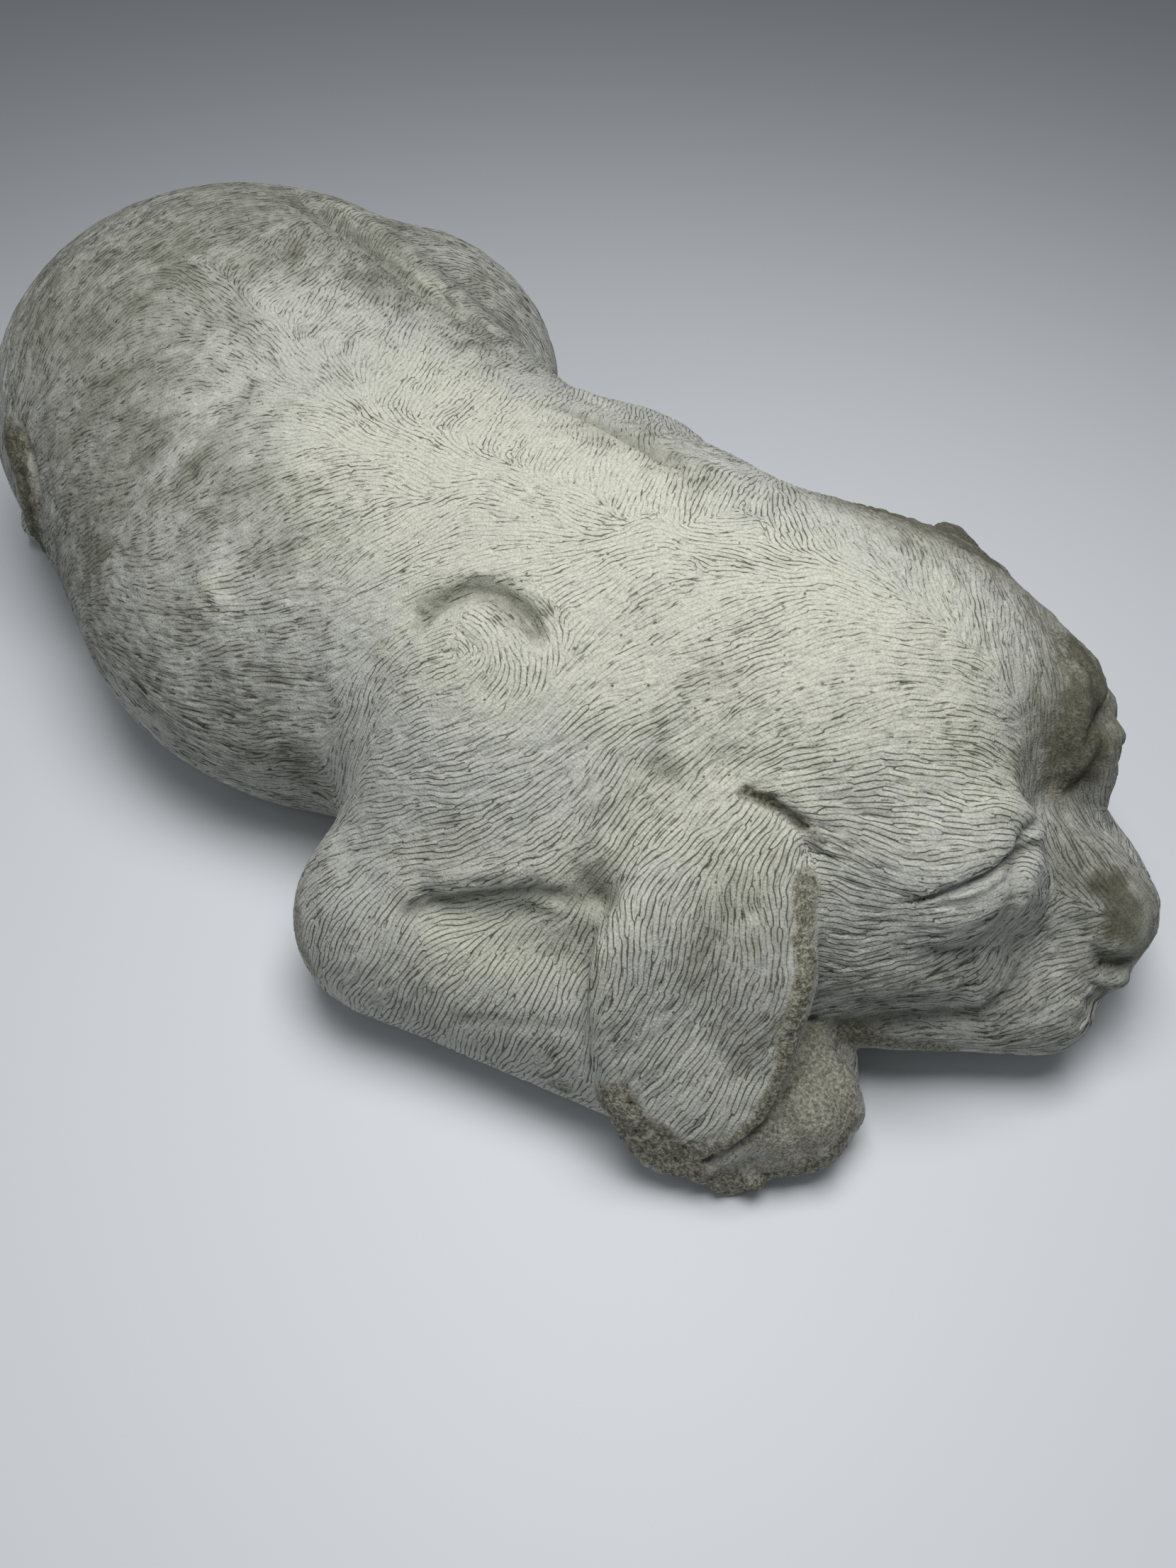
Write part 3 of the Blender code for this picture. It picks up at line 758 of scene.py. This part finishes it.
def finishMesh():
    mesh = thinned()
    mesh.name = "puppy_cast"
    points = toFigure(readVectors(mesh.vertices, "co"))
    near = np.array([[n for _, n, _ in comb.tree.find_n(p, 3)] for p in points.tolist()])
    way = comb.ways[near].mean(axis=1)
    facing = comb.normals[near[:, 0]]
    across = np.cross(facing, way)
    across /= np.maximum(np.linalg.norm(across, axis=1, keepdims=True), 1e-6)
    addAttribute(mesh, "acrossHair", "FLOAT_VECTOR", across)
    addAttribute(mesh, "streak", "FLOAT", comb.streaks[near].mean(axis=1))
    upper = points[:, 2] > hair["ground"]
    groove = np.zeros(len(points))
    groove[upper] = grooveDepth(points[upper]) / hair["depth"][1]
    addAttribute(mesh, "groove", "FLOAT", groove)
    for name in ("raw", "bare", "short", "creamAndLight", "stainAndShade"):
        addAttribute(mesh, name, "FLOAT", patchMask(name, points))
    addAttribute(mesh, "crease", "FLOAT", creasesOn(points))
    mesh.shade_smooth()
    return mesh


puppyMesh = finishMesh()
print("cast finished:", len(puppyMesh.polygons), "triangles")


# Materials
def linear(code):
    # an sRGB hex colour as linear red, green, blue and alpha
    parts = [int(code[start:start + 2], 16) / 255 for start in (1, 3, 5)]
    return (*(c / 12.92 if c <= 0.04045 else ((c + 0.055) / 1.055) ** 2.4 for c in parts), 1)


def addNode(tree, kind, settings=None, inputs=None):
    # a node with its settings, and each input given a value or linked from another node's socket
    node = tree.nodes.new(kind)
    for name, value in (settings or {}).items():
        setattr(node, name, value)
    for key, value in (inputs or {}).items():
        if isinstance(value, bpy.types.NodeSocket):
            tree.links.new(value, node.inputs[key])
        else:
            node.inputs[key].default_value = value
    return node


# Cast concrete, moulded and weathered outdoors: dull, pale cement skin on the raised hair, with painted light
# on its tops, darker grains and grey-green growth left in the grooves and on the raw edges, with painted
# shade in the grooves and darker parts
concrete = {
    "creamAndLight": "#D1D2C3",
    "cement": "#C4C5BE",
    "stainedAndShaded": "#737364",
    "growth": "#454435",
    # dark of the grooves, creases and pinholes: dirt and painted shade
    "groove": "#55564B",
    "rawPale": "#B3B09E",
    "rawDark": "#504E3D",
    "roughness": 0.95,
    "hairWave": 1.15,     # mm from one fine strand to the next
    "hairRun": 3.2,       # strands across one patch of the pattern
    "dashWave": 1.2,      # mm between the short dark dashes
    "dashRun": 2.1,
    "grain": 0.45,        # mm, sand in the skin
    "grit": 0.75,         # mm, grains of the raw edges
    "pits": 1.9,          # mm between pinholes
    "blotch": 22,         # mm, broad weathering
    "mottle": 2.4,        # mm, small weathering
    "speckle": 0.5,       # how much the sand's own greys show
    "sandGreys": ((0.35, "#C4C4C1"), (0.6, "#FFFFFF")),
    "reflection": 0.25,
    "relief": 0.6,        # mm, sand and grit in the bump
}
# Each tone sets in between its first two values, as a share from its third to its fourth, or from 0 to 1
tones = {
    "strand": (0.20, 0.03),              # phase of the fine strands that is a dark line
    "gaps": (0.27, 0.55, 0.2, 1.0),      # where those lines are worn away
    "dash": (0.43, 0.26),
    "dashPlace": (0.35, 0.75),
    "carved": (0.25, 0.95, 0.0, 0.75),   # dark in the carved grooves: dirt and painted shade
    "bloomAndLight": (0.0, 1.2),
    "blotch": (0.35, 0.75, -0.1, 0.22),
    "weatherAndShade": (-0.1, 1.2, 0.0, 0.9),
    "grit": (0.36, 0.66),
    "rawGrowth": (0.4, 1.1, 0.0, 0.75),
    "growth": (0.7, 1.7, 0.0, 0.8),
    "raw": (0.1, 0.8, 0.0, 0.9),
    "holeReach": (0.6, 1.0, 0.0, 0.2),
    "hole": (0.0, -0.06),
}
# How much each ingredient counts
strengths = {
    "mottleInBloom": 1.2,
    "streakInWeather": 0.12,
    "bloomAgainstWeather": 0.12,
    "mottleInWeather": 0.8,
    "streakInGaps": 0.08,
    "shortInGaps": 0.13,
    "creaseInHollow": 0.8,
    "hollow": 0.97,
    "mottleInGrowth": 1.6,
    "rawCrease": 0.8,
    "hole": 0.8,
    "sandBump": 0.3,
    "gritBump": 0.9,
}


def concreteMaterial():
    material = bpy.data.materials.new("weatheredCastConcrete")
    material.use_nodes = True
    tree = material.node_tree
    shader = tree.nodes["Principled BSDF"]
    place = addNode(tree, "ShaderNodeTexCoord").outputs["Object"]

    def attribute(name, socket="Fac"):
        return addNode(tree, "ShaderNodeAttribute", {"attribute_name": name}).outputs[socket]

    def noise(size, detail=3, roughness=0.55):
        return addNode(tree, "ShaderNodeTexNoise", {}, {
            "Vector": place, "Scale": 1 / (size * mm), "Detail": detail, "Roughness": roughness,
        }).outputs["Fac"]

    def spread(value, low, high, least=0.0, most=1.0):
        return addNode(tree, "ShaderNodeMapRange", {"interpolation_type": "SMOOTHSTEP"}, {
            "Value": value, "From Min": low, "From Max": high, "To Min": least, "To Max": most,
        }).outputs["Result"]

    def maths(kind, a, b=0.5):
        return addNode(tree, "ShaderNodeMath", {"operation": kind}, {0: a, 1: b}).outputs["Value"]

    def toned(value, name):
        return spread(value, *tones[name])

    def weighed(value, name):
        return maths("MULTIPLY", value, strengths[name])

    def mixed(share, a, b, kind="MIX"):
        return addNode(tree, "ShaderNodeMix", {"data_type": "RGBA", "blend_type": kind}, {
            "Factor": share, "A": a, "B": b,
        }).outputs["Result"]

    def strandsOf(wave, run, socket):
        return addNode(tree, "ShaderNodeTexGabor", {"gabor_type": "3D"}, {
            "Vector": place,
            "Scale": 1 / (wave * run * mm),
            "Frequency": run,
            "Anisotropy": 1.0,
            "Orientation": attribute("acrossHair", "Vector"),
        }).outputs[socket]

    raw, bare, short = attribute("raw"), attribute("bare"), attribute("short")
    groove, crease, streak = attribute("groove"), attribute("crease"), attribute("streak")
    stainAndShade = attribute("stainAndShade")

    strandWave = maths("PINGPONG", strandsOf(concrete["hairWave"], concrete["hairRun"], "Phase"), 0.5)
    dashWave = strandsOf(concrete["dashWave"], concrete["dashRun"], "Value")
    hairy = maths("SUBTRACT", 1.0, maths("MAXIMUM", raw, bare))

    blotch, mottle = noise(concrete["blotch"], 3, 0.6), noise(concrete["mottle"], 5, 0.7)
    sand, grit = noise(concrete["grain"], 1), noise(concrete["grit"], 3, 0.7)
    evenMottle = maths("SUBTRACT", mottle, 0.5)
    pinholes = addNode(tree, "ShaderNodeTexVoronoi", {}, {
        "Vector": place, "Scale": 1 / (concrete["pits"] * mm), "Randomness": 1.0,
    })
    holeSize = addNode(tree, "ShaderNodeSeparateColor", {}, {"Color": pinholes.outputs["Color"]})
    holeReach = toned(holeSize.outputs["Red"], "holeReach")
    hole = toned(maths("SUBTRACT", pinholes.outputs["Distance"], holeReach), "hole")

    # pale skin, lighter on the tops as painted light, and the weathering over it, partly painted shade
    bloomAndLight = toned(maths("ADD", attribute("creamAndLight"), weighed(evenMottle, "mottleInBloom")), "bloomAndLight")
    colour = mixed(bloomAndLight, linear(concrete["cement"]), linear(concrete["creamAndLight"]))
    patchy = maths("ADD", weighed(streak, "streakInWeather"), toned(blotch, "blotch"))
    patchy = maths("SUBTRACT", patchy, weighed(bloomAndLight, "bloomAgainstWeather"))
    weatherAndShade = maths("ADD", maths("ADD", stainAndShade, patchy), weighed(evenMottle, "mottleInWeather"))
    weatherAndShade = toned(weatherAndShade, "weatherAndShade")
    colour = mixed(weatherAndShade, colour, linear(concrete["stainedAndShaded"]))

    # dark between the hairs, dirt and painted shade: carved grooves, fine strands, short dashes and creases
    dashes = maths("MULTIPLY", toned(dashWave, "dash"), toned(maths("ADD", mottle, weatherAndShade), "dashPlace"))
    gaps = maths("ADD", mottle, weighed(streak, "streakInGaps"))
    gaps = toned(maths("SUBTRACT", gaps, weighed(short, "shortInGaps")), "gaps")
    hollow = maths("MAXIMUM", toned(groove, "carved"), maths("MULTIPLY", toned(strandWave, "strand"), gaps))
    hollow = maths("MULTIPLY", maths("MAXIMUM", hollow, dashes), hairy)
    hollow = maths("MAXIMUM", hollow, weighed(crease, "creaseInHollow"))
    colour = mixed(weighed(hollow, "hollow"), colour, linear(concrete["groove"]))

    # raw grit, growth and pinholes, with painted shade in the raw creases and the holes as well as growth and
    # dirt
    rawColour = mixed(toned(grit, "grit"), linear(concrete["rawDark"]), linear(concrete["rawPale"]))
    growth = maths("ADD", stainAndShade, weighed(evenMottle, "mottleInGrowth"))
    rawColour = mixed(toned(growth, "rawGrowth"), rawColour, linear(concrete["growth"]))
    colour = mixed(toned(growth, "growth"), colour, linear(concrete["growth"]))
    colour = mixed(toned(raw, "raw"), colour, rawColour)
    rawCrease = weighed(maths("MULTIPLY", crease, raw), "rawCrease")
    colour = mixed(rawCrease, colour, linear(concrete["growth"]))
    colour = mixed(weighed(hole, "hole"), colour, linear(concrete["groove"]))
    colour = mixed(concrete["speckle"], colour, spreadColour(tree, sand), "MULTIPLY")
    tree.links.new(colour, shader.inputs["Base Color"])

    # the fine strands are colour only: the bump would work their pattern out three times more for each ray,
    # so their dark lines are dirt and painted shade in one
    rawHeight = weighed(maths("MULTIPLY", grit, raw), "gritBump")
    bump = addNode(tree, "ShaderNodeBump", {}, {
        "Height": maths("ADD", weighed(sand, "sandBump"), rawHeight),
        "Strength": 1.0,
        "Distance": concrete["relief"] * mm,
    })
    tree.links.new(bump.outputs["Normal"], shader.inputs["Normal"])
    shader.inputs["Roughness"].default_value = concrete["roughness"]
    shader.inputs["Specular IOR Level"].default_value = concrete["reflection"]
    return material


def spreadColour(tree, value):
    # a grey from a noise, for speckle
    ramp = addNode(tree, "ShaderNodeValToRGB", {}, {"Fac": value})
    for element, (position, code) in zip(ramp.color_ramp.elements, concrete["sandGreys"]):
        element.position = position
        element.color = linear(code)
    return ramp.outputs["Color"]


puppy = bpy.data.objects.new("puppy_cast", puppyMesh)
bpy.context.scene.collection.objects.link(puppy)
puppyMesh.materials.clear()
puppyMesh.materials.append(concreteMaterial())
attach(puppy, "root")
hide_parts("puppy_statue")
print("cast coloured")

# Surroundings
room = {
    "floor": "#E2E6EA",
    "size": 2.4,              # m
    "gap": 0.0002,            # m, under the statue, so that the two flat faces stay apart
    "roughness": 0.5,
    "reflection": 0.3,
    "world": "#C9CDD6",
    "worldStrength": 0.14,
    "key": {"place": (0.08, -0.03, 0.48), "aim": (0.06, -0.05, 0.0), "size": (0.26, 0.26), "power": 1.85},
    "fill": {"place": (-0.3, -0.8, 0.8), "aim": (0.0, -0.15, 0.0), "size": (0.8, 0.8), "power": 0.7},
}


def floorMaterial():
    # studio floor under a rolled coat of paint: plain, pale and dull
    material = bpy.data.materials.new("palePaint")
    material.use_nodes = True
    shader = material.node_tree.nodes["Principled BSDF"]
    shader.inputs["Base Color"].default_value = linear(room["floor"])
    shader.inputs["Roughness"].default_value = room["roughness"]
    shader.inputs["Specular IOR Level"].default_value = room["reflection"]
    return material


def makeFloor():
    bm = bmesh.new()
    bmesh.ops.create_grid(bm, x_segments=1, y_segments=1, size=room["size"])
    bmesh.ops.translate(bm, vec=(0, 0, -room["gap"]), verts=bm.verts[:])
    mesh = bpy.data.meshes.new("floor")
    bm.to_mesh(mesh)
    bm.free()
    mesh.materials.append(floorMaterial())
    floor = bpy.data.objects.new("floor", mesh)
    bpy.context.scene.collection.objects.link(floor)


def makeLight(name):
    settings = room[name]
    data = bpy.data.lights.new(name, "AREA")
    data.shape = "RECTANGLE"
    data.size, data.size_y = settings["size"]
    data.energy = settings["power"]
    obj = bpy.data.objects.new(name, data)
    obj.location = settings["place"]
    aim = Vector(settings["aim"]) - Vector(settings["place"])
    obj.rotation_mode = "QUATERNION"
    obj.rotation_quaternion = aim.to_track_quat("-Z", "Y")
    bpy.context.scene.collection.objects.link(obj)


def makeWorld():
    world = bpy.data.worlds.new("studio")
    world.use_nodes = True
    background = world.node_tree.nodes["Background"]
    background.inputs["Color"].default_value = linear(room["world"])
    background.inputs["Strength"].default_value = room["worldStrength"]
    bpy.context.scene.world = world


makeFloor()
makeLight("key")
makeLight("fill")
makeWorld()
bpy.context.scene.view_settings.view_transform = "Standard"
print("floor and light set")
